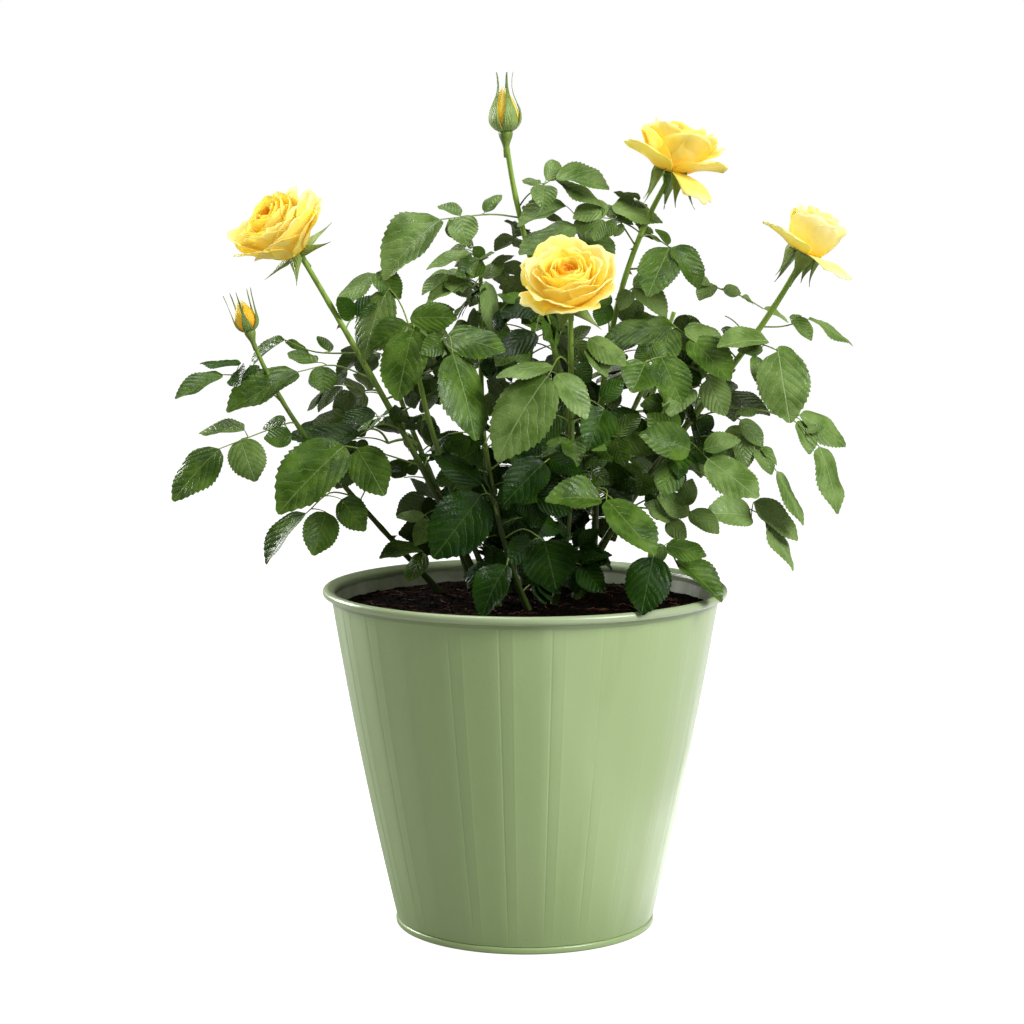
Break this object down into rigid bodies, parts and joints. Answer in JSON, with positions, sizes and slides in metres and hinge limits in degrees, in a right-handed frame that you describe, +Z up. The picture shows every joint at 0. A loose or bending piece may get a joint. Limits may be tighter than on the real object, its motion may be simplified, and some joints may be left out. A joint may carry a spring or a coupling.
{
  "type": "potted rose bush",
  "caption": "Small rose bush with green canes, leafy sprays, open blooms and buds, growing in a tapered panelled sheet-steel pot with a rolled rim.",
  "frame": {"origin": "centre of the pot's flat underside, on the pot's own axis", "axes": "+Z up along the pot's axis; -Y is the front of the bush, the side towards the viewer; +X is to the viewer's right"},
  "size_m": [0.4251, 0.283, 0.5354],
  "materials": {
    "pot_paint": "satin",
    "compost": "rough",
    "cane": "satin",
    "foliage": "satin",
    "petal": "soft"
  },
  "bodies": {
    "root": {"pot_wall": "pot_paint", "pot_rim": "pot_paint", "pot_base": "pot_paint", "compost": "compost", "cane_left_low": "cane", "cane_left": "cane", "cane_top_bud": "cane", "cane_front": "cane", "cane_top_right": "cane", "cane_right": "cane", "leafy_cane_left": "cane", "leafy_cane_middle": "cane", "leafy_cane_front": "cane", "leafy_cane_back_left": "cane", "leafy_cane_back_middle": "cane", "leafy_cane_back_right": "cane", "bloom_left": "petal", "bloom_front": "petal", "bloom_top_right": "petal", "bloom_right": "petal", "bud_top": "petal", "bud_left": "petal", "spray_left_low": "foliage", "spray_left_mid": "foliage", "spray_left_inner": "foliage", "spray_left_big": "foliage", "spray_left_flat": "foliage", "spray_left_hanging": "foliage", "spray_upper_left": "foliage", "spray_shoulder_left": "foliage", "spray_front_left": "foliage", "spray_front_inner_left": "foliage", "spray_front_centre": "foliage", "spray_front_low_left": "foliage", "spray_top_right": "foliage", "spray_upper_right": "foliage", "spray_upper_right_long": "foliage", "spray_right_top": "foliage", "spray_right_big": "foliage", "spray_right_far": "foliage", "spray_right_hanging": "foliage", "spray_right_low": "foliage", "spray_right_low_far": "foliage", "spray_right_bottom": "foliage", "spray_rim_right": "foliage", "spray_rim_front": "foliage", "spray_rim_middle": "foliage", "spray_front_low_right": "foliage", "mass_top_left": "foliage", "mass_top_centre": "foliage", "mass_left_inner": "foliage", "mass_centre_high": "foliage", "mass_centre": "foliage", "mass_centre_right": "foliage", "mass_right_high": "foliage", "mass_low_middle": "foliage", "mass_back_left": "foliage", "mass_back_right": "foliage", "mass_back_middle": "foliage", "mass_back_low": "foliage"}
  },
  "joints": []
}
